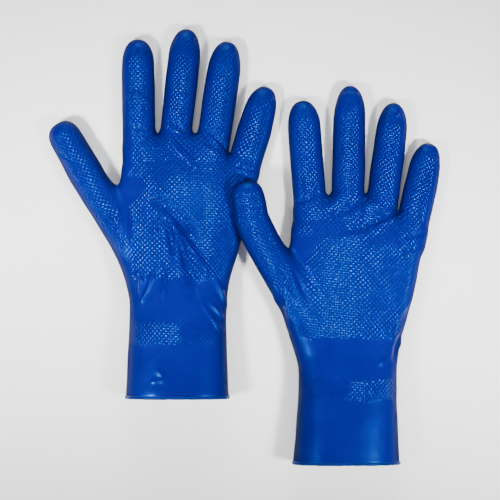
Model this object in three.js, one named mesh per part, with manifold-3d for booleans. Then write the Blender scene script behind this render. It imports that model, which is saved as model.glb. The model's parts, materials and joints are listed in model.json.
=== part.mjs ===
// A pair of long-cuffed nitrile work gloves lying on a table, fingers towards +Y.
// The left glove lies palm up. The right glove lies back up, and its thumb rests over the left one's edge.
// Each glove is one dipped film: here it is a thin open shell, parted at the creases where it bends.
// Millimetres, +Z up, the table is z = 0, and the origin is the middle of the pair's footprint.
import * as THREE from "three";
import { mergeVertices } from "three/addons/utils/BufferGeometryUtils.js";
import Module from "manifold-3d";

const wasm = await Module();
wasm.setup();

// Driving dimensions
const WALL = 0.5; // film, with its raised scales
const SINK = 0.6; // how much of each round form the table flattens
const GAP = 0.4; // between two neighbouring zones of the film
const FINEST = 0.02; // shorter edges than this are closed up after a cut
const NOTCH_DEPTH = 0.7; // how far below its hinge a crease starts to widen
const CREASE = 2; // half the length of a finger crease on its underside
const WRIST_CREASE = 4; // the same at the wrist
const KNUCKLE_BEND = 60; // degrees that a finger folds at its base
const MIDDLE_BEND = 80; // degrees that it folds half way along
const THUMB_BEND = 50; // degrees that the thumb folds at each of its creases
const WRIST_BEND = 60; // degrees that the cuff folds up at the wrist
const BEAD_LENGTH = 2.2; // rolled rim, along the cuff
const BEAD_OUT = 0.5; // how far the rim stands out of the cuff
const BEAD_IN = 1; // and into it
const PAIR_STEP = [134, -52]; // from the left cuff's middle to the right one's
const TRUNK_POWER = 2.5; // how square a palm or cuff section is; 2 is an ellipse
const DIGIT_POWER = 2.15;
const TRUNK_SIDES = 24;
const DIGIT_SIDES = 12;
const STRAIGHT_STEPS = 4; // rings along a digit before its dome
const DOME_STEPS = 4; // rings in a rounded fingertip
const DOME_LAST = 84; // degrees of the quarter circle that the dome's last ring stands at
const REACH = 150; // larger than any piece, for cutting blocks

const UP = new THREE.Vector3(0, 0, 1);

// Each trunk row is a section from the cuff's mouth to the finger roots:
// [left x, left y, right x, right y, height, how far its middle bows towards the fingers].
// Each digit has axis points [x, y, z of the middle] from inside the palm to the tip, half widths and half
// heights [at the root, half way, at the tip], its dome's length, and its creases' distances from the tip.
const GLOVES = {
  left: {
    place: [0, 0],
    trunk: [
      [-40, 0, 42, 0, 46, 0],
      [-39, 16, 41, 16, 44, 0],
      [-38, 45, 40, 45, 40, 0],
      [-37, 72, 40, 72, 35, 0],
      [-39, 96, 43, 96, 31, 0],
      [-43, 115, 49, 115, 29, 0],
      [-47, 139, 55, 139, 28, 0],
      [-47, 163, 59, 159, 27, 2],
      [-45, 184, 61, 171, 25, 5],
      [-44, 199, 60, 181, 22, 10],
      [-43, 205, 58, 186, 15, 14],
    ],
    wristAt: 81,
    digits: {
      thumb: {
        axis: [[-25, 98, 13.5], [-44, 131, 13], [-60, 158, 12], [-94.5, 218, 11]],
        width: [8, 13.9, 12],
        height: [8.5, 11.6, 8.5],
        dome: 13,
        creases: [57, 33],
      },
      index: {
        axis: [[-29.3, 165, 10.5], [-30.5, 285, 9]],
        width: [11.5, 13.3, 12.4],
        height: [9, 9.6, 8.2],
        dome: 14,
        creases: [66, 44],
      },
      middle: {
        axis: [[-4.8, 172, 10.5], [8.5, 293, 9]],
        width: [11.5, 12.8, 12.6],
        height: [9, 9.7, 8.4],
        dome: 15,
        creases: [73, 49],
      },
      ring: {
        axis: [[24.8, 174, 10.5], [41, 283, 9]],
        width: [11.5, 13.5, 12.4],
        height: [9, 9.6, 8.2],
        dome: 15,
        creases: [66, 43],
      },
      little: {
        axis: [[45, 154, 11], [72, 247, 8.5]],
        width: [8, 13.6, 10.8],
        height: [7.5, 9.4, 7.6],
        dome: 13,
        creases: [46, 27],
      },
    },
  },
  right: {
    place: PAIR_STEP,
    trunk: [
      [-42, 0, 43, 0, 46, 0],
      [-39.5, 23, 42, 23, 44, 0],
      [-37.5, 52, 40.5, 52, 40, 0],
      [-37, 76, 41, 76, 36, 0],
      [-41, 93, 43, 93, 33, 0],
      [-46, 111, 48.5, 111, 30, 0],
      [-49, 135, 55, 135, 28.5, 0],
      [-47, 159, 59.5, 159, 28, 0],
      [-44, 181, 63, 176, 26, 4],
      [-42, 200, 65, 182, 22, 11],
      [-41, 208, 64, 187, 15, 15],
    ],
    wristAt: 84,
    digits: {
      thumb: {
        axis: [[-25, 94, 13.5], [-44, 125, 15.5], [-57, 150, 19], [-66, 174, 24.5], [-78.5, 223, 34]],
        width: [8, 13.9, 12.4],
        height: [8.5, 10.8, 8.2],
        dome: 14,
        creases: [53, 30],
      },
      index: {
        axis: [[-24.6, 166, 10.5], [-34, 288, 9]],
        width: [11.5, 13.3, 12.4],
        height: [9, 9.6, 8.2],
        dome: 15,
        creases: [65, 45],
      },
      middle: {
        axis: [[1.5, 174, 10.5], [4.5, 300, 9]],
        width: [11.5, 13.2, 11.8],
        height: [9, 9.7, 8.4],
        dome: 15,
        creases: [77, 51],
      },
      ring: {
        axis: [[25.7, 175, 10.5], [40, 286, 9]],
        width: [11.5, 12.9, 11.6],
        height: [9, 9.6, 8.2],
        dome: 15,
        creases: [65, 43],
      },
      little: {
        axis: [[47.5, 160, 11], [68, 254, 8.5]],
        width: [8, 13.2, 10.6],
        height: [7.5, 9.4, 7.6],
        dome: 14,
        creases: [46, 27],
      },
    },
  },
};

const rad = THREE.MathUtils.degToRad;

// A closed geometry as a solid that can be joined and cut.
function solid(geometry) {
  const bare = geometry.clone();
  bare.deleteAttribute("normal");
  bare.deleteAttribute("uv");
  const merged = mergeVertices(bare, 1e-4);
  return new wasm.Manifold(
    new wasm.Mesh({
      numProp: 3,
      vertProperties: new Float32Array(merged.attributes.position.array),
      triVerts: new Uint32Array(merged.index.array),
    }),
  );
}

// A solid back as a geometry.
function geometryOf(body) {
  const mesh = body.getMesh();
  const geometry = new THREE.BufferGeometry();
  geometry.setAttribute("position", new THREE.BufferAttribute(mesh.vertProperties, 3));
  geometry.setIndex(new THREE.BufferAttribute(mesh.triVerts, 1));
  geometry.computeVertexNormals();
  return geometry;
}

const join = (bodies) => bodies.reduce((whole, body) => whole.add(body));

// The largest connected piece of a cut solid, without the slivers and tiny edges that a cut leaves.
const largest = (body) => body.decompose().sort((a, b) => b.volume() - a.volume())[0].simplify(FINEST);

// The closed skin over a row of rings that all have the same even number of points.
// A ring runs from its right-hand point over the top to the left and back underneath.
function loft(rings) {
  const sides = rings[0].length;
  const half = sides / 2;
  const last = (rings.length - 1) * sides;
  const faces = [];
  for (let k = 0; k < rings.length - 1; k++) {
    for (let i = 0; i < sides; i++) {
      const a = k * sides + i;
      const b = k * sides + ((i + 1) % sides);
      faces.push(a, a + sides, b + sides, a, b + sides, b);
    }
  }
  for (let i = 0; i < half; i++) {
    const [top, nextTop] = [i, i + 1];
    const [low, nextLow] = [(sides - i) % sides, sides - i - 1];
    if (i > 0) {
      faces.push(low, top, nextTop);
      faces.push(last + low, last + nextTop, last + top);
    }
    if (i < half - 1 || i === 0) {
      faces.push(low, nextTop, nextLow);
      faces.push(last + low, last + nextLow, last + nextTop);
    }
  }
  const geometry = new THREE.BufferGeometry();
  geometry.setAttribute(
    "position",
    new THREE.Float32BufferAttribute(rings.flat().flatMap((p) => p.toArray()), 3),
  );
  geometry.setIndex(faces);
  return solid(geometry);
}

// A superellipse's points [across, up], as factors of its half width and half height.
function outline(sides, power) {
  return Array.from({ length: sides }, (_, i) => {
    const turn = (2 * Math.PI * i) / sides;
    const bulge = (v) => Math.sign(v) * Math.abs(v) ** (2 / power);
    return [bulge(Math.cos(turn)), bulge(Math.sin(turn))];
  });
}

// Rows of numbers with smooth rows added between them.
function smooth(rows, steps) {
  const pick = (i) => rows[Math.min(Math.max(i, 0), rows.length - 1)];
  const spline = (p0, p1, p2, p3, t) => {
    const square = 2 * p0 - 5 * p1 + 4 * p2 - p3;
    const cube = 3 * p1 - p0 - 3 * p2 + p3;
    return (2 * p1 + (p2 - p0) * t + square * t ** 2 + cube * t ** 3) / 2;
  };
  const made = [];
  for (let i = 0; i < rows.length - 1; i++) {
    for (let step = 0; step < steps; step++) {
      made.push(
        rows[i].map((v, n) => spline(pick(i - 1)[n], v, pick(i + 1)[n], pick(i + 2)[n], step / steps)),
      );
    }
  }
  return [...made, rows.at(-1)];
}

// Palm, wrist and cuff as one form, inset by the given thickness on every side but the mouth.
function trunkForm(rows, inset) {
  const shape = outline(TRUNK_SIDES, TRUNK_POWER);
  const sections = smooth(rows, 2);
  const rings = sections.map(([lx, ly, rx, ry, height, bow], k) => {
    const left = new THREE.Vector3(lx, ly, 0);
    const right = new THREE.Vector3(rx, ry, 0);
    const across = right.clone().sub(left).normalize();
    const ahead = new THREE.Vector3().crossVectors(UP, across);
    const halfWidth = right.distanceTo(left) / 2 - inset;
    const halfHeight = height / 2 - inset;
    const shift = k === sections.length - 1 ? -inset : 0;
    const middle = left.clone().lerp(right, 0.5).addScaledVector(ahead, shift);
    middle.z = height / 2 - SINK;
    return shape.map(([u, v]) =>
      middle
        .clone()
        .addScaledVector(across, u * halfWidth)
        .addScaledVector(ahead, bow * (1 - u * u))
        .addScaledVector(UP, v * halfHeight),
    );
  });
  if (inset > 0) rings.unshift(rings[0].map((p) => p.clone().setY(-REACH)));
  return loft(rings);
}

// Where a digit's middle line is at a distance from its tip, with its own three directions.
function station(digit, fromTip) {
  const curve = new THREE.CatmullRomCurve3(digit.axis.map((p) => new THREE.Vector3(...p)));
  const share = 1 - fromTip / curve.getLength();
  const along = curve.getTangentAt(share);
  const across = new THREE.Vector3().crossVectors(along, UP).normalize();
  const over = new THREE.Vector3().crossVectors(across, along);
  return { point: curve.getPointAt(share), along, across, over, share };
}

// A value that goes smoothly from the first to the second to the third number along a digit.
function taper([root, half, tip], share) {
  const rest = 1 - share;
  return root * rest * (1 - 2 * share) + half * 4 * share * rest + tip * share * (2 * share - 1);
}

// One digit as a closed form with a domed tip, inset on every side.
function digitForm(digit, inset) {
  const length = new THREE.CatmullRomCurve3(digit.axis.map((p) => new THREE.Vector3(...p))).getLength();
  const shape = outline(DIGIT_SIDES, DIGIT_POWER);
  const stops = [];
  for (let k = 0; k < STRAIGHT_STEPS; k++) {
    stops.push([length - ((length - digit.dome) * k) / STRAIGHT_STEPS, 1]);
  }
  for (let k = 0; k <= DOME_STEPS; k++) {
    const turn = rad((DOME_LAST * k) / DOME_STEPS);
    stops.push([digit.dome - (digit.dome - inset) * Math.sin(turn), Math.cos(turn)]);
  }
  const rings = stops.map(([fromTip, factor]) => {
    const { point, across, over, share } = station(digit, fromTip);
    const halfWidth = (taper(digit.width, share) - inset) * factor;
    const halfHeight = (taper(digit.height, share) - inset) * factor;
    return shape.map(([u, v]) =>
      point.clone().addScaledVector(across, u * halfWidth).addScaledVector(over, v * halfHeight),
    );
  });
  return loft(rings);
}

// A block that holds everything above a height.
function above(z) {
  const block = new THREE.BoxGeometry(4 * REACH, 8 * REACH, REACH);
  block.translate(0, 0, z + REACH / 2);
  return solid(block);
}

// The film's outer form less its inner one. The table flattens both.
function film(glove) {
  const form = (inset) =>
    join([trunkForm(glove.trunk, inset), ...Object.values(glove.digits).map((d) => digitForm(d, inset))]);
  return form(0).intersect(above(0)).subtract(form(WALL).intersect(above(WALL)));
}

// A block with the given outline [along, over], as wide as span to each side of a hinge.
function block(hinge, points, span) {
  const shape = new THREE.Shape(points.map(([x, y]) => new THREE.Vector2(x, y)));
  const geometry = new THREE.ExtrudeGeometry(shape, { depth: 2 * span, bevelEnabled: false });
  geometry.translate(0, 0, -span);
  geometry.applyMatrix4(new THREE.Matrix4().makeBasis(hinge.along, hinge.over, hinge.across));
  geometry.translate(...hinge.point);
  return solid(geometry);
}

// How far a crease's face leans back where the block ends, so that the fold can close.
const leanOf = (hinge) => (REACH + NOTCH_DEPTH) * Math.tan(rad(hinge.bend / 2));

// Everything past a crease's far face, where side is 1, or past its near face, where side is -1.
function past(hinge, side, span) {
  const start = side * hinge.half;
  const top = start + side * leanOf(hinge);
  const points = [[start, -REACH], [REACH, -REACH], [REACH, REACH], [top, REACH], [start, -NOTCH_DEPTH]];
  return block(hinge, points, span);
}

// The crease itself: a band that is narrow underneath and widens above the hinge.
function band(hinge, span) {
  const low = hinge.half - GAP;
  const top = low + leanOf(hinge);
  const farSide = [[low, -REACH], [low, -NOTCH_DEPTH], [top, REACH]];
  const nearSide = [[-top, REACH], [-low, -NOTCH_DEPTH], [-low, -REACH]];
  return block(hinge, [...farSide, ...nearSide], span);
}

// The hinge of a digit's crease.
function digitHinge(digit, name, which) {
  const bend = name === "thumb" ? THUMB_BEND : [KNUCKLE_BEND, MIDDLE_BEND][which];
  return { ...station(digit, digit.creases[which]), half: CREASE, bend };
}

// The wrist's hinge, whose far side is the cuff.
function wristHinge(glove) {
  const [lx, , rx, , height] = smooth(glove.trunk, 8).find((row) => row[1] >= glove.wristAt);
  return {
    point: new THREE.Vector3((lx + rx) / 2, glove.wristAt, height / 2 - SINK),
    along: new THREE.Vector3(0, -1, 0),
    across: new THREE.Vector3(-1, 0, 0),
    over: UP.clone(),
    half: WRIST_CREASE,
    bend: WRIST_BEND,
  };
}

// The rolled rim, a little thicker than the film on both sides.
function bead(glove) {
  const [lx, , rx, , height] = glove.trunk[0];
  const shape = outline(TRUNK_SIDES, TRUNK_POWER);
  const tube = (grow, start, end) => {
    const ringAt = (y) =>
      shape.map(
        ([u, v]) =>
          new THREE.Vector3(
            (lx + rx) / 2 + u * ((rx - lx) / 2 + grow),
            y,
            height / 2 - SINK + v * (height / 2 + grow),
          ),
      );
    return loft([ringAt(start), ringAt(end)]);
  };
  const outer = tube(BEAD_OUT, 0, BEAD_LENGTH).intersect(above(0));
  return outer.subtract(tube(-BEAD_IN, -1, BEAD_LENGTH + 1).intersect(above(BEAD_IN + WALL)));
}

// Every zone of one glove as [name, solid].
function zones(glove) {
  const shell = film(glove);
  const wrist = wristHinge(glove);
  const made = [];
  let palm = shell.subtract(past(wrist, -1, REACH));
  for (const [name, digit] of Object.entries(glove.digits)) {
    const [knuckle, joint] = [0, 1].map((which) => digitHinge(digit, name, which));
    const spare = name === "thumb" ? 6 : 1.4;
    const span = Math.max(...digit.width) + spare;
    palm = palm.subtract(past(knuckle, -1, span));
    const lower = shell.intersect(past(knuckle, 1, span)).subtract(past(joint, -1, span));
    made.push([`${name}_knuckle_crease`, shell.intersect(band(knuckle, span))]);
    made.push([`${name}_lower`, lower]);
    made.push([`${name}_middle_crease`, shell.intersect(band(joint, span))]);
    made.push([`${name}_tip`, shell.intersect(past(joint, 1, span))]);
  }
  const rim = new THREE.BoxGeometry(4 * REACH, BEAD_LENGTH + GAP, 4 * REACH);
  rim.translate(0, (BEAD_LENGTH + GAP) / 2, 0);
  made.push(["palm", palm]);
  made.push(["wrist_crease", shell.intersect(band(wrist, REACH))]);
  made.push(["cuff", shell.intersect(past(wrist, 1, REACH)).subtract(solid(rim))]);
  made.push(["cuff_bead", bead(glove)]);
  return made;
}

const pair = new THREE.Group();
for (const [side, glove] of Object.entries(GLOVES)) {
  const material = new THREE.MeshStandardMaterial({ color: 0x0a3fb0, roughness: 0.42, metalness: 0 });
  const beadMaterial = new THREE.MeshStandardMaterial({ color: 0x08318f, roughness: 0.4, metalness: 0 });
  const group = new THREE.Group();
  group.position.set(...glove.place, 0);
  for (const [name, body] of zones(glove)) {
    const mesh = new THREE.Mesh(geometryOf(largest(body)), name === "cuff_bead" ? beadMaterial : material);
    mesh.name = `${side}_${name}`;
    group.add(mesh);
  }
  pair.add(group);
}

// Put the origin in the middle of the footprint.
const box = new THREE.Box3().setFromObject(pair);
const middle = box.getCenter(new THREE.Vector3());
pair.position.set(-middle.x, -middle.y, 0);

export default pair;
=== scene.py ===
"""The look of a pair of blue nitrile gloves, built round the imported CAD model.

Each glove's film is one smooth implicit form, measured off the frame's nodes and joints. It is meshed finely,
creased, given its raised scales, made a real film thick, and cut where the frame's bodies part.
"""

import json
import math

import bpy
import numpy as np
import openvdb
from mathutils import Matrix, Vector


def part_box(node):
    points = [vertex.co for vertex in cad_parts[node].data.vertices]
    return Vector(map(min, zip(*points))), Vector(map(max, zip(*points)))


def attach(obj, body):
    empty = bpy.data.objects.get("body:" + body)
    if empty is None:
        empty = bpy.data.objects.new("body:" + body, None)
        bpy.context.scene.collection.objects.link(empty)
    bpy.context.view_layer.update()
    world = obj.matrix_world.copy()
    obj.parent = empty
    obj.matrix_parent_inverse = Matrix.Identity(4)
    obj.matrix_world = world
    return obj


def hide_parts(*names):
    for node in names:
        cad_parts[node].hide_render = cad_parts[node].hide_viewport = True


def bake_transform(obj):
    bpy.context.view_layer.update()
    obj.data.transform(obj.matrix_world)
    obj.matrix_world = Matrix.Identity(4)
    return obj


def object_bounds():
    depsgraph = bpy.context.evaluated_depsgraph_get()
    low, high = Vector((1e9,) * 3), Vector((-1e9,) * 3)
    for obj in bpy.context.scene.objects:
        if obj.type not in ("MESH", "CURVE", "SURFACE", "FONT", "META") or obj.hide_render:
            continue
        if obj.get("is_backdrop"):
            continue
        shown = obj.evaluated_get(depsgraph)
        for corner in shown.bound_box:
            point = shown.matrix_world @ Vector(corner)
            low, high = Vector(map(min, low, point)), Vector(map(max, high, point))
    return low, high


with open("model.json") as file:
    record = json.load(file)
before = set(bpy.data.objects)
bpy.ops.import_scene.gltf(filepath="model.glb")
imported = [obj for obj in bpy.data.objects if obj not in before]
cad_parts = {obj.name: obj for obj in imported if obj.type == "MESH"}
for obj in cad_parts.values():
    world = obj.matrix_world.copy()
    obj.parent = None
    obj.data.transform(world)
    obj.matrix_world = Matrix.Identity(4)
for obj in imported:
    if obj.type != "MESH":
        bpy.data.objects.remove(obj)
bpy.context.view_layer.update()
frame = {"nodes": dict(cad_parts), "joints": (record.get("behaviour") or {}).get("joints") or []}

# Driving dimensions, in metres
FILM = 0.0003  # thickness of the dipped film
FLAT = 0.0006  # how much of each round form the table flattens
CELL = 0.0013  # grid that the form is meshed on, before it is subdivided once
TRUNK_POWER = 2.5  # how square a palm or cuff section is; 2 is an ellipse
DIGIT_POWER = 2.15  # the same for a digit's section
TIP_POWER = 2.4  # the same for a fingertip, seen from above
WEB = 0.006  # radius of the fillets between the palm and the fingers
THUMB_WEB = 0.0135  # between the palm and the thumb
FINGER_FILLET = 0.0012  # between two fingers
TABLE_FILLET = 0.0008  # where the form meets the table
PRESSED = (0.0004, 0.0006)  # film lower than the first is pressed flat, the more the further it is below
ROOT = 0.034  # how far before its knuckle hinge a finger's form starts
ROOT_CAP = 0.01  # length over which a digit's form closes at its start, inside the palm
NEAR = 0.024  # a digit's field is worked out this far round its axis
THENAR = (-0.026, 0.016)  # where the thumb's form starts, from the wrist's hinge
THENAR_HEIGHT = 0.0145  # how high it starts, at most
KNUCKLE_SEAM = 0.009  # how far before a knuckle hinge its piece of the film starts
WRIST_SEAM = 0.021  # the same at the wrist
TRUNK_END = 0.012  # length over which the palm's form closes between the fingers
PALM_THINS = (0.28, 0.045)  # share of its height that the palm loses by the fingers, and over what length
SCALE_PITCH = (0.00268, 0.00290)  # from one raised scale to the next, along its two edges
SCALE_HEIGHT = 0.00032
SCALE_POWER = 0.8  # how rounded a scale is; lower is flatter on top
WRAP = 0.7  # how much of the way down its side the film's lattice counts
BEAD = 0.00105  # radius of the rolled rim
DIGITS = ("thumb", "index", "middle", "ring", "little")
# How far aside of its CAD solid a digit's film lies
SLACK = {"right_thumb": (-0.003, 0.0), "left_thumb": (-0.0008, 0.0), "left_index": (-0.0006, 0.0)}
# Length of each digit's rounded end
DOMES = {"thumb": 0.014, "index": 0.021, "middle": 0.027, "ring": 0.026, "little": 0.023}

joints = {joint["name"]: joint for joint in frame["joints"]}


# ---- Measuring the frame ----


def triangles(nodes):
    """The corners of the CAD nodes' triangles, as an array of shape (n, 3, 3)."""
    made = []
    for node in nodes:
        mesh = frame["nodes"][node].data
        mesh.calc_loop_triangles()
        points = np.array([v.co for v in mesh.vertices])
        made.append(points[np.array([t.vertices for t in mesh.loop_triangles])])
    return np.concatenate(made)


def section(corners, point, normal):
    """The points where the triangles' edges cross a plane."""
    height = (corners - point) @ normal
    found = []
    for a, b in ((0, 1), (1, 2), (2, 0)):
        crosses = height[:, a] * height[:, b] < 0
        start, end = corners[crosses, a], corners[crosses, b]
        share = height[crosses, a] / (height[crosses, a] - height[crosses, b])
        found.append(start + (end - start) * share[:, None])
    return np.concatenate(found)


def spread(points, direction):
    """Middle and half width of some points along a direction."""
    along = points @ direction
    return (along.max() + along.min()) / 2, (along.max() - along.min()) / 2


def unit(vector):
    """A vector's direction."""
    return vector / np.linalg.norm(vector)


class Digit:
    """One digit's form: an axis with half widths and half heights, and a rounded end."""

    def __init__(self, side, name, wrist):
        knuckle, middle = (joints[f"{side}_{name}_{which}_bend"] for which in ("knuckle", "middle"))
        self.name = name
        self.knuckle = np.array(knuckle["pos_m"])
        self.middle = np.array(middle["pos_m"])
        self.along = unit(self.middle - self.knuckle)
        self.across = np.array(knuckle["axis"])
        self.over = np.cross(self.across, self.along)
        lower = triangles([f"{side}_{name}_lower"])
        end = triangles([f"{side}_{name}_tip"])
        reach = ((end.reshape(-1, 3) - self.knuckle) @ self.along).max()
        between = np.linalg.norm(self.middle - self.knuckle)
        if name == "thumb":
            root = wrist + np.array([*THENAR, 0])
            root[2] = min(self.knuckle[2] - 0.35 * (self.knuckle[2] - wrist[2]), THENAR_HEIGHT)
        else:
            root = self.knuckle - ROOT * self.along
        # Three sections are measured: one across the lower part and two across the tip.
        last = max(reach - 0.0165, between + 0.0135)
        stops = [between * 0.5, min(between + 0.0125, last - 0.0015), last]
        sizes = []
        for stop, corners in zip(stops, (lower, end, end)):
            cut = section(corners, self.knuckle + stop * self.along, self.along)
            side_mid, half_width = spread(cut - self.knuckle, self.across)
            top_mid, half_height = spread(cut - self.knuckle, self.over)
            sizes.append((side_mid, top_mid, half_width, half_height))
        middle_line = [self.knuckle + t * self.along + s[0] * self.across + s[1] * self.over
                       for t, s in zip(stops, sizes)]
        tip = self.knuckle + reach * self.along + sizes[-1][0] * self.across + sizes[-1][1] * self.over
        slack = np.array([*SLACK.get(f"{side}_{name}", (0, 0)), 0])
        middle_line = [middle_line[0] + 0.6 * slack, middle_line[1] + slack, middle_line[2] + slack]
        tip = tip + slack
        self.line = smooth_line([root, middle_line[0], middle_line[2], tip], 15)
        self.distance = np.concatenate([[0], np.cumsum(np.linalg.norm(np.diff(self.line, axis=0), axis=1))])
        self.length = self.distance[-1]
        self.tangent = np.gradient(self.line, self.distance, axis=0)
        self.tangent /= np.linalg.norm(self.tangent, axis=1)[:, None]
        self.at_knuckle = self.where(self.knuckle)
        self.at_middle = self.where(self.middle)
        self.dome = DOMES[name]
        root_size = 0.85 if name == "thumb" else 0.97
        places = [0, *(self.at_knuckle + s for s in stops), self.length]
        self.half_width = (places, [root_size * sizes[0][2], *(s[2] for s in sizes), 0.94 * sizes[2][2]])
        self.half_height = (places, [root_size * sizes[0][3], *(s[3] for s in sizes), 0.94 * sizes[2][3]])

    def near(self, points):
        """Which points lie near enough for the form to matter."""
        low, high = self.line.min(axis=0) - NEAR, self.line.max(axis=0) + NEAR
        return np.all((points > low) & (points < high), axis=1)

    def where(self, point):
        """Distance along the axis of the place nearest to a point."""
        return self.local(np.array([point]))[0][0]

    def local(self, points):
        """Each point's distance along the axis, and across and over it."""
        best = np.full(len(points), np.inf)
        along, across, over = (np.zeros(len(points)) for _ in range(3))
        last = len(self.line) - 2
        for i in range(last + 1):
            start, stride = self.line[i], self.line[i + 1] - self.line[i]
            size = np.linalg.norm(stride)
            away = points - start
            share = (away @ stride) / size**2
            low = -np.inf if i == 0 else 0
            high = np.inf if i == last else 1
            held = np.clip(share, low, high)
            gap = away - held[:, None] * stride
            far = np.einsum("ij,ij->i", gap, gap)
            nearer = far < best
            tangent = self.tangent[i] + np.clip(held, 0, 1)[:, None] * (self.tangent[i + 1] - self.tangent[i])
            side = np.cross(tangent, [0, 0, 1])
            side /= np.linalg.norm(side, axis=1)[:, None]
            top = np.cross(side, tangent)
            best = np.where(nearer, far, best)
            along = np.where(nearer, self.distance[i] + held * size, along)
            across = np.where(nearer, np.einsum("ij,ij->i", gap, side), across)
            over = np.where(nearer, np.einsum("ij,ij->i", gap, top), over)
        return along, across, over

    def field(self, points):
        """About how far each point is outside the form."""
        along, across, over = self.local(points)
        width = np.interp(along, *self.half_width)
        height = np.interp(along, *self.half_height)
        beyond = np.maximum(along - (self.length - self.dome), 0)
        before = np.maximum(-along, 0)
        a, b = np.abs(across / width), np.abs(over / height)
        out = (a**DIGIT_POWER + b**DIGIT_POWER + 1e-12) ** (1 / DIGIT_POWER)
        tilts = ((a / out) ** (DIGIT_POWER - 1) / width, (b / out) ** (DIGIT_POWER - 1) / height)
        tilt = tilts[0] ** 2 + tilts[1] ** 2
        ends = beyond / self.dome + before / ROOT_CAP
        norm = (out**TIP_POWER + ends**TIP_POWER) ** (1 / TIP_POWER)
        power = 2 * TIP_POWER - 2
        reach = np.where(beyond > 0, self.dome, ROOT_CAP)
        slope = (out / norm) ** power * tilt + (ends / norm) ** power / reach**2
        return (norm - 1) / np.sqrt(slope + 1e-9)


def rounded(shares, sizes, power):
    """A rounded form's field from each direction's share of its half size."""
    total = sum(np.abs(s) ** power for s in shares) + 1e-12
    norm = total ** (1 / power)
    slope = sum(((np.abs(s) / norm) ** (power - 1) / size) ** 2 for s, size in zip(shares, sizes))
    return (norm - 1) / np.sqrt(slope + 1e-9)


def smooth_line(points, count):
    """A smooth line through a few points, as evenly spaced ones."""
    points = np.array(points)
    first, last = 2 * points[0] - points[1], 2 * points[-1] - points[-2]
    p = np.array([first, *points, last])
    t = np.linspace(0, 1, 12, endpoint=False)[:, None]
    fine = []
    for i in range(1, len(p) - 2):
        square = 2 * p[i - 1] - 5 * p[i] + 4 * p[i + 1] - p[i + 2]
        cube = 3 * p[i] - p[i - 1] - 3 * p[i + 1] + p[i + 2]
        fine.append((2 * p[i] + (p[i + 1] - p[i - 1]) * t + square * t**2 + cube * t**3) / 2)
    fine = np.concatenate([*fine, points[-1:]])
    run = np.concatenate([[0], np.cumsum(np.linalg.norm(np.diff(fine, axis=0), axis=1))])
    even = np.linspace(0, run[-1], count)
    return np.stack([np.interp(even, run, fine[:, k]) for k in range(3)], axis=1)


class Glove:
    """One glove's form: a trunk of palm, wrist and cuff, with five digits."""

    def __init__(self, side):
        self.side = side
        self.wrist = np.array(joints[f"{side}_wrist_bend"]["pos_m"])
        self.digits = [Digit(side, name, self.wrist) for name in DIGITS]
        self.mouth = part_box(f"{side}_cuff_bead")[0][1]
        self.measure_trunk()

    def measure_trunk(self):
        """The palm's and cuff's edges and top along the hand, and where it ends between the fingers."""
        side = self.side
        thumb, fingers = self.digits[0], self.digits[1:]
        corners = triangles([f"{side}_palm", f"{side}_cuff", f"{side}_wrist_crease"])
        top_y = min(d.knuckle[1] for d in fingers) - 0.016
        stations = np.linspace(self.mouth + 0.003, top_y, 40)
        rows = []
        for y in stations:
            cut = section(corners, np.array([0, y, 0]), np.array([0.0, 1, 0]))
            low, high = cut[:, 0].min(), cut[:, 0].max()
            inner = (cut[:, 0] > 0.55 * low + 0.45 * high) & (cut[:, 0] < 0.15 * low + 0.85 * high)
            rows.append((low, high, cut[inner, 2].max()))
        left, right, top = np.array(rows).T
        # The thumb's root widens the palm's solid, so the palm's own edge is drawn straight past it.
        clear = (stations < self.wrist[1] + 0.018) | (stations > thumb.knuckle[1] + 0.014)
        left = np.interp(stations, stations[clear], left[clear])
        palm_edge = fingers[0].knuckle[0] - fingers[0].half_width[1][1] + 0.0022
        left = np.where(stations > thumb.knuckle[1] + 0.016, np.maximum(left, palm_edge), left)
        self.left = (stations, eased(left))
        self.right = (stations, eased(right))
        self.top = (stations, eased(top))
        # The palm ends just before the knuckles, and lower between the ring and little fingers.
        webs = [d.knuckle - 0.010 * d.along for d in fingers]
        outer = [webs[0] - 0.02 * fingers[0].across, webs[-1] + 0.02 * fingers[-1].across]
        outer[0][1] -= 0.002
        outer[1][1] -= 0.010
        crotch = (webs[2] + webs[3]) / 2 - np.array([0, 0.0085, 0])
        line = np.array([outer[0], *webs[:3], crotch, webs[3], outer[1]])
        self.end = (line[:, 0], line[:, 1])

    def trunk(self, points):
        """The field of the palm, wrist and cuff."""
        x, y, z = points.T
        left, right = np.interp(y, *self.left), np.interp(y, *self.right)
        top = np.interp(y, *self.top)
        middle, width = (left + right) / 2, (right - left) / 2
        end = np.interp(x, *self.end)
        beyond = np.maximum(y - (end - TRUNK_END), 0)
        thinner, length = PALM_THINS
        height = (top + FLAT) / 2 * (1 - thinner * np.clip(1 + (y - end) / length, 0, 1) ** 2)
        across, over = x - middle, z - (height - FLAT)
        return rounded((across / width, over / height, beyond / TRUNK_END),
                       (width, height, TRUNK_END), TRUNK_POWER)

    def field(self, points):
        """About how far each point is outside the glove, in metres."""
        thumb, fingers = (np.full(len(points), 1.0) for _ in range(2))
        for digit in self.digits:
            near = digit.near(points)
            if digit.name == "thumb":
                thumb[near] = digit.field(points[near])
            else:
                fingers[near] = blend_min(fingers[near], digit.field(points[near]), FINGER_FILLET)
        whole = blend_min(blend_min(self.trunk(points), fingers, WEB), thumb, THUMB_WEB)
        return -blend_min(-whole, points[:, 2], TABLE_FILLET)


def blend_min(a, b, radius):
    """The smaller of two fields, with a fillet of about that radius where they cross."""
    share = np.clip(0.5 + 0.5 * (b - a) / radius, 0, 1)
    return b + (a - b) * share - radius * share * (1 - share)


def eased(values):
    """A row of measures with its small steps smoothed out."""
    padded = np.pad(values, 2, mode="reflect", reflect_type="odd")
    return np.convolve(padded, [0.1, 0.2, 0.4, 0.2, 0.1], mode="valid")


# ---- Meshing ----


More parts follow.
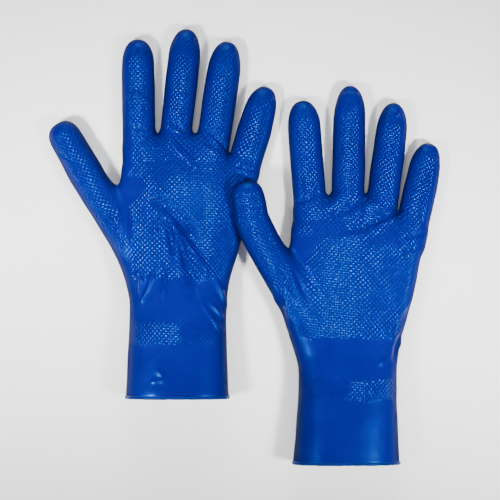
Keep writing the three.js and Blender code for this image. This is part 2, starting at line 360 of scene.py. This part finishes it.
def slopes(field, points, nudge=0.0002):
    """A field's values and its slopes at some points."""
    here = field(points)
    made = [field(points + nudge * np.eye(3)[k]) - here for k in range(3)]
    return here, np.stack(made, axis=1) / nudge


def settle(field, points, rounds):
    """Moves points onto the form's surface."""
    for _ in range(rounds):
        here, slope = slopes(field, points)
        size = np.maximum(np.einsum("ij,ij->i", slope, slope), 0.05)
        move = -(here / size)[:, None] * slope
        length = np.linalg.norm(move, axis=1)
        move *= np.minimum(1, CELL / np.maximum(length, 1e-9))[:, None]
        points = points + move
    return points


def mesh_of(glove):
    """The form's surface, open at the cuff's mouth: coarse points and quads, then fine points and quads."""
    boxes = [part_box(node) for node in frame["nodes"] if node.startswith(glove.side)]
    low = np.min([box[0] for box in boxes], axis=0) - 4 * CELL
    high = np.max([box[1] for box in boxes], axis=0) + 4 * CELL
    counts = np.ceil((high - low) / CELL).astype(int) + 1
    axes = [low[k] + CELL * np.arange(counts[k]) for k in range(3)]
    grid = np.stack(np.meshgrid(*axes, indexing="ij"), axis=-1)
    values = glove.field(grid.reshape(-1, 3)).reshape(counts)
    values = np.clip(values / CELL, -3, 3)
    values[:, 0] = values[:, -1] = 3
    values[0] = values[-1] = 3
    values[:, :, 0] = values[:, :, -1] = 3
    volume = openvdb.FloatGrid(3.0)
    volume.copyFromArray(values.astype(np.float32))
    points, quads = volume.convertToQuads(0.0)
    points = points * CELL + low
    points = settle(glove.field, points, 2)
    centre = points[quads].mean(axis=1)
    quads = quads[centre[:, 1] > glove.mouth]
    used, quads = np.unique(quads, return_inverse=True)
    points, quads = points[used], quads.reshape(-1, 4)
    points = at_mouth(glove, points, quads)
    return points, quads, *subdivided(glove, points, quads)


def at_mouth(glove, points, quads):
    """The points with those on the open edge moved to the mouth."""
    edges = np.sort(np.concatenate([quads[:, [k, (k + 1) % 4]] for k in range(4)]), axis=1)
    edges, counts = np.unique(edges, axis=0, return_counts=True)
    rim = np.unique(edges[counts == 1])
    points = points.copy()
    points[rim, 1] = glove.mouth + 0.0002
    return points


def subdivided(glove, points, quads):
    """Each quad in four, settled on the form."""
    mesh = bpy.data.meshes.new("coarse")
    mesh.from_pydata(points.tolist(), [], quads.tolist())
    piece = bpy.data.objects.new("coarse", mesh)
    bpy.context.scene.collection.objects.link(piece)
    piece.modifiers.new("subdivision", "SUBSURF").levels = 1
    fine = piece.evaluated_get(bpy.context.evaluated_depsgraph_get()).to_mesh()
    points = np.empty(len(fine.vertices) * 3)
    fine.vertices.foreach_get("co", points)
    quads = np.empty(len(fine.loops), dtype=np.int64)
    fine.loops.foreach_get("vertex_index", quads)
    points, quads = points.reshape(-1, 3), quads.reshape(-1, 4)
    bpy.data.objects.remove(piece)
    bpy.data.meshes.remove(mesh)
    points = settle(glove.field, points, 1)
    return at_mouth(glove, points, quads), quads


def outward(points, quads):
    """Each point's normal, from the faces round it."""
    corners = points[quads]
    face = np.cross(corners[:, 2] - corners[:, 0], corners[:, 3] - corners[:, 1])
    made = np.zeros_like(points)
    for k in range(4):
        for axis in range(3):
            made[:, axis] += np.bincount(quads[:, k], face[:, axis], len(points))
    return made / np.maximum(np.linalg.norm(made, axis=1), 1e-12)[:, None]


def step(values, low, high):
    """0 before low and 1 after high, smoothly between."""
    share = np.clip((values - low) / (high - low), 0, 1)
    return share * share * (3 - 2 * share)


# ---- Folds, scales and dents ----

# Each fold: how deep it is (a ridge if negative), how wide, and its line in metres from the wrist's hinge.
FOLDS = {
    "left": [
        (0.0027, 0.0042, [(-0.024, 0.080), (-0.012, 0.072), (-0.001, 0.062), (0.007, 0.052), (0.013, 0.041)]),
        (0.0023, 0.0052, [(0.004, 0.038), (0.008, 0.028), (0.013, 0.012), (0.019, -0.004)]),
        (-0.0020, 0.0028, [(-0.010, 0.064), (-0.001, 0.051), (0.005, 0.044), (0.014, 0.031), (0.026, 0.014)]),
        (0.0022, 0.0023, [(-0.011, 0.063), (-0.007, 0.050), (-0.005, 0.040), (-0.003, 0.026)]),
        (0.0022, 0.0025, [(0.001, 0.048), (0.003, 0.037), (0.005, 0.028), (0.007, 0.019)]),
        (0.0010, 0.0013, [(-0.038, 0.071), (-0.038, 0.055), (-0.038, 0.041)]),
        (-0.0014, 0.0016, [(-0.029, 0.021), (-0.030, 0.008), (-0.029, -0.005)]),
        (-0.0016, 0.0016, [(-0.019, 0.021), (-0.025, 0.003), (-0.030, -0.006)]),
        (-0.0011, 0.0016, [(-0.010, 0.021), (-0.011, 0.008), (-0.012, -0.003)]),
        (-0.0011, 0.0017, [(0.029, 0.015), (0.034, 0.004), (0.039, -0.011)]),
        (-0.0008, 0.0015, [(0.016, -0.003), (0.027, -0.018), (0.036, -0.031)]),
        (-0.0007, 0.0013, [(0.025, -0.005), (0.033, -0.014), (0.038, -0.021)]),
        (-0.0010, 0.0026, [(-0.016, 0.131), (-0.005, 0.122), (0.004, 0.112), (0.017, 0.099)]),
        (0.0013, 0.0018, [(0.012, 0.131), (0.022, 0.123), (0.033, 0.115)]),
        (0.0011, 0.0016, [(0.018, 0.135), (0.029, 0.126), (0.042, 0.112)]),
        (-0.0009, 0.0018, [(-0.043, 0.154), (-0.035, 0.160), (-0.028, 0.157), (-0.021, 0.151)]),
        (0.0010, 0.0017, [(-0.039, 0.134), (-0.026, 0.133), (-0.015, 0.137)]),
        (0.0010, 0.0016, [(-0.013, 0.139), (-0.003, 0.136), (0.006, 0.130), (0.011, 0.134)]),
        (0.0009, 0.0014, [(0.044, 0.104), (0.052, 0.101), (0.062, 0.100)]),
        (0.0008, 0.0013, [(0.046, 0.098), (0.054, 0.095), (0.062, 0.092)]),
        (0.0010, 0.0014, [(-0.096, 0.114), (-0.089, 0.1095), (-0.083, 0.106)]),
        (-0.0006, 0.0020, [(-0.018, -0.057), (-0.013, -0.062), (-0.010, -0.070)]),
        (-0.0005, 0.0014, [(-0.022, -0.068), (-0.015, -0.067), (-0.009, -0.067)]),
    ],
    "right": [
        (0.0024, 0.0015, [(0.045, 0.118), (0.038, 0.1135), (0.030, 0.110), (0.019, 0.106)]),
        (0.0014, 0.0032, [(0.031, 0.110), (0.021, 0.106), (0.010, 0.102), (-0.003, 0.098)]),
        (-0.0009, 0.0034, [(0.001, 0.110), (0.017, 0.120), (0.030, 0.126)]),
        (-0.0009, 0.0030, [(-0.010, 0.094), (0.004, 0.097), (0.019, 0.101), (0.032, 0.108)]),
        (-0.0009, 0.0036, [(-0.021, 0.114), (-0.006, 0.127), (0.009, 0.138)]),
        (0.0010, 0.0026, [(0.015, 0.130), (0.010, 0.123), (-0.007, 0.114)]),
        (0.0010, 0.0016, [(-0.043, 0.123), (-0.032, 0.125), (-0.022, 0.131)]),
        (-0.0006, 0.0012, [(-0.006, 0.207), (0.002, 0.2095), (0.013, 0.207)]),
        (-0.0006, 0.0012, [(0.029, 0.192), (0.036, 0.1935), (0.045, 0.191)]),
        (-0.0005, 0.0012, [(0.058, 0.167), (0.064, 0.168), (0.070, 0.166)]),
        (0.0016, 0.0018, [(0.046, 0.021), (0.041, 0.014), (0.038, 0.005), (0.037, -0.004)]),
        (-0.0012, 0.0032, [(0.050, 0.015), (0.044, 0.012), (0.042, 0.006)]),
        (-0.0006, 0.0022, [(0.023, -0.006), (0.030, -0.002), (0.034, 0.004)]),
        (0.0009, 0.0055, [(-0.032, -0.012), (-0.034, -0.040), (-0.035, -0.074)]),
        (-0.0010, 0.0014, [(-0.059, 0.063), (-0.057, 0.047), (-0.051, 0.027)]),
        (-0.0008, 0.0014, [(-0.051, 0.053), (-0.047, 0.036), (-0.042, 0.026)]),
        (0.0009, 0.0018, [(-0.043, 0.070), (-0.037, 0.058), (-0.030, 0.041)]),
        (0.0009, 0.0018, [(-0.054, 0.074), (-0.049, 0.061), (-0.038, 0.046)]),
        (0.0009, 0.0014, [(0.064, 0.099), (0.055, 0.097), (0.045, 0.095)]),
        (0.0008, 0.0018, [(0.061, 0.088), (0.053, 0.086), (0.040, 0.081)]),
        (-0.0010, 0.0022, [(0.053, 0.050), (0.045, 0.038), (0.035, 0.026)]),
    ],
}
# Where the scales are: (from, to) along the hand from the wrist's hinge, the second a band on the cuff
SCALED = {"left": ((0.010, 0.3), (-0.0395, -0.018)), "right": ((0.0145, 0.3), (-0.0345, -0.0155))}
LATTICE_TURN = {"left": -0.01, "right": -0.07}  # radians


def folded(glove, points, normals):
    """How far the folds push each point out."""
    made = np.zeros(len(points))
    flat = points[:, :2] - glove.wrist[:2]
    upper = step(normals[:, 2], -0.35, 0.25)
    for depth, width, line in FOLDS[glove.side]:
        start, end = (np.array(line[i]) + 0.2 * (np.array(line[i]) - line[j]) for i, j in ((0, 1), (-1, -2)))
        line = smooth_line([(x, y, 0) for x, y in (start, *line[1:-1], end)], 14)[:, :2]
        low, high = line.min(axis=0) - 4 * width, line.max(axis=0) + 4 * width
        near = np.flatnonzero(np.all((flat > low) & (flat < high), axis=1) & (upper > 0))
        best, run = np.full(len(near), np.inf), np.zeros(len(near))
        for i in range(len(line) - 1):
            along = line[i + 1] - line[i]
            away = flat[near] - line[i]
            share = np.clip(away @ along / (along @ along), 0, 1)
            far = np.linalg.norm(away - share[:, None] * along, axis=1)
            nearer = far < best
            best = np.where(nearer, far, best)
            run = np.where(nearer, (i + share) / (len(line) - 1), run)
        ends = step(run, 0.0, 0.4) * (1 - step(run, 0.6, 1.0))
        wave = np.exp(-(best / width) ** 2) - 0.16 * np.exp(-((best - 2.2 * width) / (1.2 * width)) ** 2)
        made[near] -= depth * ends * wave
    return made * upper


def waves(points, lengths, seed, count=5):
    """Smooth random bumps, about -1 to 1, with a wavelength for each axis."""
    random = np.random.default_rng(seed)
    made = np.zeros(len(points))
    for _ in range(count):
        turn = random.normal(size=3) / np.array(lengths)
        made += np.sin(2 * math.pi * (points @ turn) * 0.8 + random.uniform(0, 2 * math.pi))
    return made / math.sqrt(count) / 1.4


def dented(glove, points):
    """The soft dents and slack of a thin film that nobody fills."""
    seed = 11 if glove.side == "left" else 23
    down = glove.wrist[1] + 0.03 - points[:, 1]
    cuff = step(down, 0, 0.03)
    made = 0.00022 * waves(points, (0.030, 0.045, 0.04), seed)
    made += 0.0005 * cuff * waves(points, (0.045, 0.16, 0.08), seed + 1)
    made += 0.00004 * waves(points, (0.014, 0.024, 0.02), seed + 2)
    rim = points[:, 1] - glove.mouth
    fine = step(rim, 0.0005, 0.003) * (1 - step(rim, 0.008, 0.016))
    patch = step(waves(points, (0.03, 0.05, 0.03), seed + 3), -0.2, 0.8)
    drift = 2.2 * waves(points, (0.02, 1, 1), seed + 4)
    made += 0.00006 * fine * patch * np.sin(2 * math.pi * rim / 0.0026 + drift)
    return made


def charted(glove, points):
    """Each point's place on the scales' lattice, and how strong the scales are there."""
    x, y, z = points.T
    wrist = glove.wrist
    left, right = np.interp(y, *glove.left), np.interp(y, *glove.right)
    top = np.interp(y, *glove.top)
    centre, width, height = (left + right) / 2, (right - left) / 2, top / 2
    wrap = WRAP * np.clip(height - np.abs(z - height), 0, None)
    u = x - wrist[0] + np.sign(x - centre) * wrap
    v = y - wrist[1]
    across = (x - centre) / width
    strong = (1 - step(-across, 0.82, 0.97)) * (1 - step(across, 0.84, 0.98))
    web = np.hypot(x - glove.digits[0].knuckle[0] - 0.031, y - glove.digits[0].knuckle[1] + 0.003)
    strong *= step(web, 0.005, 0.014)
    hand, band = SCALED[glove.side]
    strong = np.where(v < (hand[0] + band[1]) / 2, 1 - step(np.abs(across), 0.86, 0.98), strong)
    trunk = glove.trunk(points)
    for digit in glove.digits:
        near = np.flatnonzero(digit.near(points))
        own = digit.field(points[near])
        along, side, over = digit.local(points[near])
        start = 0.030 if digit.name == "thumb" else digit.at_knuckle - 0.018
        end = 0.055 if digit.name == "thumb" else digit.at_knuckle + 0.002
        share = step(along, start, end) * step(trunk[near] - own, -0.004, 0.003) * step(0.004 - own, 0, 0.003)
        wide = np.interp(along, *digit.half_width)
        tall = np.interp(along, *digit.half_height)
        wrap = WRAP * np.clip(tall - np.abs(over), 0, None)
        own_u = digit.knuckle[0] - wrist[0] + side + np.sign(side) * wrap
        own_v = digit.knuckle[1] - wrist[1] + along - digit.at_knuckle
        edge = (0.6, 0.9) if digit.name == "thumb" else (0.45, 0.76)
        inner = 1 - step(np.abs(side) / wide, *edge)
        inner *= 1 - step(along, digit.length - 0.010, digit.length - 0.003)
        u[near] += share * (own_u - u[near])
        v[near] += share * (own_v - v[near])
        if digit.name == "thumb":
            share = step(along, 0.006, 0.020) * step(trunk[near] - own, -0.004, 0.001)
            share *= step(0.004 - own, 0, 0.003)
        strong[near] += share * (inner - strong[near])
    strong *= 0.78 + 0.22 * step(waves(points, (0.03, 0.04, 0.05), 77), -0.7, 0.3)
    turn = math.pi / 4 + LATTICE_TURN[glove.side]
    a = (math.cos(turn) * u + math.sin(turn) * v) / SCALE_PITCH[0]
    b = (-math.sin(turn) * u + math.cos(turn) * v) / SCALE_PITCH[1]
    cell = (SCALE_PITCH[0] * (np.floor(a) + 0.5), SCALE_PITCH[1] * (np.floor(b) + 0.5))
    middle = math.sin(turn) * cell[0] + math.cos(turn) * cell[1]
    row = np.floor(a) - np.floor(b)
    ragged = 0.0007 * np.sin(0.5 * row) + 0.0006 * np.sin(1.9 * row + 1)
    fade = {"left": 0.006, "right": 0.003}[glove.side]
    kept = step(middle - ragged, hand[0], hand[0] + fade)  # only whole scales
    fresh = step(across, -0.15, 0.10) if glove.side == "right" else 1 - step(across, -0.05, 0.20)
    banded = step(middle - ragged, band[0], band[0] + 0.003)
    banded *= 1 - step(middle - ragged, band[1] - 0.003, band[1])
    return a, b, strong * (kept + banded * (0.4 + 0.6 * fresh))


def scale_heights(a, b):
    """The raised scales: a rounded diamond in each cell of the lattice, 0 to 1."""
    return np.abs(np.sin(math.pi * a) * np.sin(math.pi * b)) ** SCALE_POWER


# ---- Pieces ----


class Skin:
    """A glove's finished film: its outer points, quads, normals, and the data that its material reads."""

    def __init__(self, glove):
        self.glove = glove
        coarse, coarse_quads, points, quads = mesh_of(glove)
        normals = outward(points, quads)
        a, b, strong = charted(glove, points)
        shaped = self.creased(points, normals)
        shaped += normals * (SCALE_HEIGHT * strong * scale_heights(a, b))[:, None]
        self.points, self.quads = self.on_table(shaped), quads
        self.normals = outward(self.points, quads)
        self.chart = np.stack([a, b, strong], axis=1)
        # How steep the film is; its material uses this for painted shade on the steep sides and for duller
        # sides.
        self.steep = 1 - np.abs(normals[:, 2])
        inside = outward(coarse, coarse_quads)
        self.inner = self.on_table(self.creased(coarse, inside)) - FILM * inside
        self.inner_quads = coarse_quads[:, ::-1]
        self.inner_normals = -inside

    def creased(self, points, normals):
        """Points pushed by the folds and dents, less so near the stiff rim."""
        out = folded(self.glove, points, normals) + dented(self.glove, points)
        calm = step(points[:, 1] - self.glove.mouth, 0.0, 0.006)
        return points + normals * (out * (0.3 + 0.7 * calm))[:, None]

    def on_table(self, points):
        """Points with those that would sink in the table pressed flat on it."""
        points = points.copy()
        height = points[:, 2]
        least, reach = PRESSED
        points[:, 2] = np.where(height < least, least - least * np.tanh((least - height) / reach), height)
        return points

    def zones(self, points):
        """Each point's zone: palm 0, cuff 1, then each digit's lower part and tip."""
        zone = np.zeros(len(points), dtype=int)
        zone[points[:, 1] < self.glove.wrist[1] + WRIST_SEAM] = 1
        best = np.full(len(points), 0.002)
        for i, digit in enumerate(self.glove.digits):
            along = digit.local(points)[0]
            own = digit.field(points)
            past = along > digit.at_knuckle - KNUCKLE_SEAM
            mine = past & (own < best)
            best[mine] = own[mine]
            tip = along > (digit.at_knuckle + digit.at_middle) / 2
            zone[mine] = 2 + 2 * i + tip[mine]
        return zone


def piece(name, skin, chosen, inner_chosen, material):
    """A Blender object of some of a skin's quads, outside and inside."""
    used, quads = np.unique(skin.quads[chosen], return_inverse=True)
    quads = quads.reshape(-1, 4)
    inner_used, inner_quads = np.unique(skin.inner_quads[inner_chosen], return_inverse=True)
    inner_quads = inner_quads.reshape(-1, 4) + len(used)
    points = np.concatenate([skin.points[used], skin.inner[inner_used]])
    normals = np.concatenate([skin.normals[used], skin.inner_normals[inner_used]])
    chart = np.concatenate([skin.chart[used], np.zeros((len(inner_used), 3))])
    faces = np.concatenate([quads, inner_quads])
    mesh = bpy.data.meshes.new(name)
    mesh.vertices.add(len(points))
    mesh.vertices.foreach_set("co", points.astype(np.float32).ravel())
    mesh.loops.add(faces.size)
    mesh.loops.foreach_set("vertex_index", faces.astype(np.int32).ravel())
    mesh.polygons.add(len(faces))
    mesh.polygons.foreach_set("loop_start", np.arange(0, faces.size, 4, dtype=np.int32))
    mesh.polygons.foreach_set("loop_total", np.full(len(faces), 4, dtype=np.int32))
    mesh.update(calc_edges=True)
    mesh.validate()
    mesh.polygons.foreach_set("use_smooth", np.ones(len(mesh.polygons), dtype=bool))
    mesh.normals_split_custom_set_from_vertices(normals.astype(np.float32))
    layer = mesh.attributes.new("chart", "FLOAT_VECTOR", "POINT")
    layer.data.foreach_set("vector", chart.astype(np.float32).ravel())
    steep = np.concatenate([skin.steep[used], np.zeros(len(inner_used))])
    layer = mesh.attributes.new("steep", "FLOAT", "POINT")
    layer.data.foreach_set("value", steep.astype(np.float32))
    mesh.materials.append(material)
    made = bpy.data.objects.new(name, mesh)
    bpy.context.scene.collection.objects.link(made)
    return made


def mouth_loop(skin):
    """The outer points round the cuff's mouth, in order."""
    edges = np.sort(np.concatenate([skin.quads[:, [k, (k + 1) % 4]] for k in range(4)]), axis=1)
    edges, counts = np.unique(edges, axis=0, return_counts=True)
    open_edges = edges[counts == 1]
    follow = {}
    for a, b in open_edges.tolist():
        follow.setdefault(a, []).append(b)
        follow.setdefault(b, []).append(a)
    start = int(open_edges[0, 0])
    loop, last = [start], None
    while True:
        onward = [v for v in follow[loop[-1]] if v != last]
        last = loop[-1]
        if onward[0] == start or len(loop) > len(follow):
            break
        loop.append(onward[0])
    return skin.points[loop]


def bead(name, skin, material):
    """The film rolled up round the mouth, as a thick uneven ring."""
    loop = mouth_loop(skin)
    run = np.linalg.norm(np.roll(loop, -1, axis=0) - loop, axis=1)
    places = np.concatenate([[0], np.cumsum(run)])
    closed = np.concatenate([loop, loop[:1]])
    count = 420
    even = np.linspace(0, places[-1], count, endpoint=False)
    ring = np.stack([np.interp(even, places, closed[:, k]) for k in range(3)], axis=1)
    for _ in range(6):
        ring = (np.roll(ring, 1, axis=0) + 2 * ring + np.roll(ring, -1, axis=0)) / 4
    ring[:, 1] += 0.0004
    tangent = np.roll(ring, -1, axis=0) - np.roll(ring, 1, axis=0)
    tangent /= np.linalg.norm(tangent, axis=1)[:, None]
    out = np.cross(tangent, [0.0, 1.0, 0.0])
    out /= np.linalg.norm(out, axis=1)[:, None]
    middle = ring.mean(axis=0)
    if np.mean(np.einsum("ij,ij->i", out, ring - middle)) < 0:
        out = -out
    sides = 18
    turn = np.linspace(0, 2 * math.pi, sides, endpoint=False)
    random = np.random.default_rng(5)
    phase = 2 * math.pi * np.arange(count) / count
    thick = BEAD + sum(0.00004 * np.sin(n * phase + random.uniform(0, 6)) for n in (3, 7, 16, 29))
    outwards = np.cos(turn)[None, :, None] * out[:, None]
    lengthways = np.sin(turn)[None, :, None] * np.array([0, 1.25, 0])
    points = ring[:, None] + thick[:, None, None] * (outwards + lengthways)
    points[..., 2] = np.maximum(points[..., 2], 0.0)
    points = points.reshape(-1, 3)
    i, j = np.meshgrid(np.arange(count), np.arange(sides), indexing="ij")
    ahead, beside = (i + 1) % count, (j + 1) % sides
    faces = (i * sides + j, i * sides + beside, ahead * sides + beside, ahead * sides + j)
    faces = np.stack(faces, axis=-1)
    mesh = bpy.data.meshes.new(name)
    mesh.from_pydata(points.tolist(), [], faces.reshape(-1, 4).tolist())
    mesh.polygons.foreach_set("use_smooth", np.ones(len(mesh.polygons), dtype=bool))
    mesh.materials.append(material)
    made = bpy.data.objects.new(name, mesh)
    bpy.context.scene.collection.objects.link(made)
    return made


# ---- Materials ----


class Nodes:
    """A short way to write a material's nodes."""

    def __init__(self, name):
        self.material = bpy.data.materials.new(name)
        self.material.use_nodes = True
        self.tree = self.material.node_tree
        self.shader = self.tree.nodes["Principled BSDF"]

    def add(self, kind, **settings):
        node = self.tree.nodes.new(kind)
        for key, value in settings.items():
            setattr(node, key, value)
        return node

    def link(self, start, end):
        self.tree.links.new(start, end)

    def put(self, value, socket):
        if hasattr(value, "links"):
            self.link(value, socket)
        else:
            socket.default_value = value

    def math(self, operation, a, b=None):
        node = self.add("ShaderNodeMath", operation=operation)
        self.put(a, node.inputs[0])
        if b is not None:
            self.put(b, node.inputs[1])
        return node.outputs[0]

    def noise(self, scale, detail=3.0, vector=None, distortion=0.0):
        node = self.add("ShaderNodeTexNoise")
        node.inputs["Scale"].default_value = scale
        node.inputs["Detail"].default_value = detail
        node.inputs["Distortion"].default_value = distortion
        self.link(vector or self.place(), node.inputs["Vector"])
        return node.outputs[0]

    def place(self):
        if not hasattr(self, "coordinates"):
            self.coordinates = self.add("ShaderNodeTexCoord").outputs["Object"]
        return self.coordinates

    def ramp(self, value, low, high, start, end):
        node = self.add("ShaderNodeMapRange", clamp=True)
        self.put(value, node.inputs["Value"])
        for socket, number in zip(("From Min", "From Max", "To Min", "To Max"), (low, high, start, end)):
            node.inputs[socket].default_value = number
        return node.outputs[0]

    def gloss(self, front, edge):
        """A gloss that fades where the film is seen edge on, so that the pale room doesn't outline it."""
        return self.ramp(self.add("ShaderNodeLayerWeight").outputs["Facing"], 0.60, 0.92, front, edge)

    def mix(self, share, a, b):
        node = self.add("ShaderNodeMix", data_type="RGBA")
        self.put(share, node.inputs[0])
        self.put(a, node.inputs[6])
        self.put(b, node.inputs[7])
        return node.outputs[2]

    def bump(self, height, distance, strength, after=None):
        node = self.add("ShaderNodeBump")
        node.inputs["Distance"].default_value = distance
        node.inputs["Strength"].default_value = strength
        self.link(height, node.inputs["Height"])
        if after:
            self.link(after, node.inputs["Normal"])
        return node.outputs["Normal"]


def film_material(name, dark, light):
    """Blue dipped nitrile: glossy on its scales, satin elsewhere, with painted shade darkening the grooves
    and the steep sides.
    """
    n = Nodes(name)
    chart = n.add("ShaderNodeAttribute", attribute_name="chart").outputs["Vector"]
    parts = n.add("ShaderNodeSeparateXYZ")
    n.link(chart, parts.inputs[0])
    a = n.math("ABSOLUTE", n.math("SINE", n.math("MULTIPLY", parts.outputs[0], math.pi)))
    b = n.math("ABSOLUTE", n.math("SINE", n.math("MULTIPLY", parts.outputs[1], math.pi)))
    scale = n.math("POWER", n.math("MULTIPLY", a, b), SCALE_POWER)
    strong = parts.outputs[2]
    raised = n.math("MULTIPLY", scale, strong)
    groove_shade = n.math("MULTIPLY", n.ramp(scale, 0.0, 0.45, 1.0, 0.0), strong)
    cloud = n.ramp(n.noise(28.0, 4.0, distortion=0.4), 0.3, 0.7, 0.0, 1.0)
    colour = n.mix(cloud, (*dark, 1), (*light, 1))
    speckle = n.ramp(n.noise(420.0, 2.0), 0.35, 0.75, 0.0, 0.16)
    colour = n.mix(speckle, colour, (dark[0] * 0.5, dark[1] * 0.6, dark[2] * 0.7, 1))
    # Painted shade: the base colour is darkened in the grooves between the scales, where shade falls.
    deep = n.math("MULTIPLY", groove_shade, 0.85)
    colour = n.mix(deep, colour, (dark[0] * 0.4, dark[1] * 0.45, dark[2] * 0.5, 1))
    side = n.add("ShaderNodeAttribute", attribute_name="steep").outputs["Fac"]
    steep = n.ramp(side, 0.03, 0.55, 0.0, 0.85)
    colour = n.mix(steep, colour, (0.0, dark[1] * 0.25, dark[2] * 0.22, 1))  # painted shade: the steep sides are darkened, standing in for the light they miss
    n.link(colour, n.shader.inputs["Base Color"])
    smear = n.ramp(n.noise(60.0, 3.0, distortion=0.2), 0.3, 0.7, -0.04, 0.04)
    grain = n.ramp(n.noise(900.0, 2.0), 0.3, 0.7, -0.03, 0.03)
    rough = n.math("ADD", n.ramp(strong, 0.0, 0.8, 0.30, 0.23), n.math("ADD", smear, grain))
    rough = n.math("ADD", rough, n.math("MULTIPLY", steep, 0.55))
    n.link(rough, n.shader.inputs["Roughness"])
    n.shader.inputs["IOR"].default_value = 1.52
    n.link(n.gloss(0.40, 0.06), n.shader.inputs["Specular IOR Level"])
    n.shader.inputs["Specular Tint"].default_value = (0.05, 0.28, 1.0, 1)
    first = n.bump(raised, 0.00030, 0.9)
    second = n.bump(n.noise(330.0, 3.0), 0.00004, 0.4, first)
    third = n.bump(n.noise(1500.0, 2.0), 0.00002, 0.5, second)
    n.link(third, n.shader.inputs["Normal"])
    return n.material


def bead_material():
    """The rolled rim: the same film wound on itself, a little darker where its turns meet."""
    n = Nodes("rolled rim")
    turns = n.add("ShaderNodeTexWave", bands_direction="Y")
    turns.inputs["Scale"].default_value = 560.0
    turns.inputs["Distortion"].default_value = 1.2
    n.link(n.place(), turns.inputs["Vector"])
    cloud = n.ramp(n.noise(70.0, 4.0), 0.3, 0.7, 0.0, 1.0)
    colour = n.mix(cloud, (0.0, 0.008, 0.10, 1), (0.0, 0.012, 0.14, 1))
    colour = n.mix(n.math("MULTIPLY", turns.outputs["Fac"], 0.25), colour, (0.0, 0.004, 0.06, 1))
    n.link(colour, n.shader.inputs["Base Color"])
    n.link(n.ramp(n.noise(300.0, 3.0), 0.3, 0.7, 0.34, 0.46), n.shader.inputs["Roughness"])
    n.shader.inputs["IOR"].default_value = 1.52
    n.link(n.gloss(0.25, 0.05), n.shader.inputs["Specular IOR Level"])
    n.shader.inputs["Specular Tint"].default_value = (0.05, 0.28, 1.0, 1)
    first = n.bump(turns.outputs["Fac"], 0.00008, 0.4)
    n.link(n.bump(n.noise(600.0, 3.0), 0.00004, 0.4, first), n.shader.inputs["Normal"])
    return n.material


def floor_material():
    """Plain pale matt board."""
    n = Nodes("studio floor")
    cloud = n.ramp(n.noise(6.0, 3.0), 0.3, 0.7, 0.0, 1.0)
    n.link(n.mix(cloud, (0.90, 0.90, 0.905, 1), (0.93, 0.93, 0.935, 1)), n.shader.inputs["Base Color"])
    n.link(n.ramp(n.noise(90.0, 3.0), 0.3, 0.7, 0.55, 0.65), n.shader.inputs["Roughness"])
    n.shader.inputs["Specular IOR Level"].default_value = 0.3
    n.link(n.bump(n.noise(700.0, 3.0), 0.00004, 0.3), n.shader.inputs["Normal"])
    return n.material


# ---- The two gloves ----

film = film_material("nitrile film", (0.0, 0.0006, 0.112), (0.0, 0.0022, 0.150))
rim = bead_material()


def place_glove(side):
    """One glove's pieces; the palm and the rolled rim are put on their bodies, the cuff and the digits'
    pieces are only baked in place.
    """
    glove = Glove(side)
    skin = Skin(glove)
    zone = skin.zones(skin.points[skin.quads].mean(axis=1))
    inner_zone = skin.zones(skin.inner[skin.inner_quads].mean(axis=1))

    def part(name, number):
        return piece(f"{side}_{name}_skin", skin, zone == number, inner_zone == number, film)

    palm = part("palm", 0)
    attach(palm, f"{side}_hand")
    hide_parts(f"{side}_palm")
    cuff = part("cuff", 1)
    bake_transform(cuff)
    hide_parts(f"{side}_wrist_crease", f"{side}_cuff")
    ring = bead(f"{side}_rolled_rim", skin, rim)
    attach(ring, f"{side}_cuff")
    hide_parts(f"{side}_cuff_bead")
    shown = [palm, cuff]
    for i, digit in enumerate(glove.digits):
        name = f"{side}_{digit.name}"
        lower, tip = part(f"{digit.name}_lower", 2 + 2 * i), part(f"{digit.name}_tip", 3 + 2 * i)
        for made, hinge, reach, a, b in (
            (lower, digit.knuckle, 0.0065, f"{side}_hand", f"{name}_base"),
            (tip, digit.middle, 0.008, f"{name}_base", f"{name}_end"),
        ):
            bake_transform(made)
        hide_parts(f"{name}_knuckle_crease", f"{name}_lower")
        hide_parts(f"{name}_middle_crease", f"{name}_tip")
        shown += [lower, tip]


for side in ("left", "right"):
    place_glove(side)

# ---- Floor, light and camera ----

low, high = (np.array(corner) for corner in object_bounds())
centre = (low + high) / 2

floor = bpy.data.objects.new("floor", bpy.data.meshes.new("floor"))
corners = [(4 * x, 4 * y, -0.0002) for x, y in ((-1, -1), (1, -1), (1, 1), (-1, 1))]
floor.data.from_pydata(corners, [], [(0, 1, 2, 3)])
floor.data.materials.append(floor_material())
bpy.context.scene.collection.objects.link(floor)
floor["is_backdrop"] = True


def softbox(name, place, aim, size, power, spread=180):
    """A square area light that faces a place on the floor; a grid narrows its spread, in degrees."""
    light = bpy.data.lights.new(name, "AREA")
    light.size, light.energy, light.spread = size, power, math.radians(spread)
    made = bpy.data.objects.new(name, light)
    made.location = place
    made.rotation_euler = (Vector((*aim, 0)) - Vector(place)).to_track_quat("-Z", "Y").to_euler()
    bpy.context.scene.collection.objects.link(made)


softbox("left box", (-0.52, -0.26, 0.84), (-0.17, 0.02), 0.18, 1.6, 42)
softbox("right box", (0.52, -0.30, 0.84), (0.18, -0.02), 0.18, 1.6, 42)
softbox("back box", (0.0, 1.75, 1.15), (0.0, 0.0), 0.9, 30)
softbox("front fill", (0.0, -1.80, 1.00), (0.0, 0.0), 0.9, 5)

world = bpy.data.worlds.new("studio")
world.use_nodes = True
world.node_tree.nodes["Background"].inputs["Color"].default_value = (0.93, 0.95, 1.0, 1)
world.node_tree.nodes["Background"].inputs["Strength"].default_value = 0.26
bpy.context.scene.world = world

camera = bpy.data.objects.new("camera", bpy.data.cameras.new("camera"))
camera.data.lens, camera.data.sensor_width = 225, 36
camera.location = (float(centre[0]) + 0.0043, float(centre[1]) - 0.0030, 2.5)
bpy.context.scene.collection.objects.link(camera)
bpy.context.scene.camera = camera
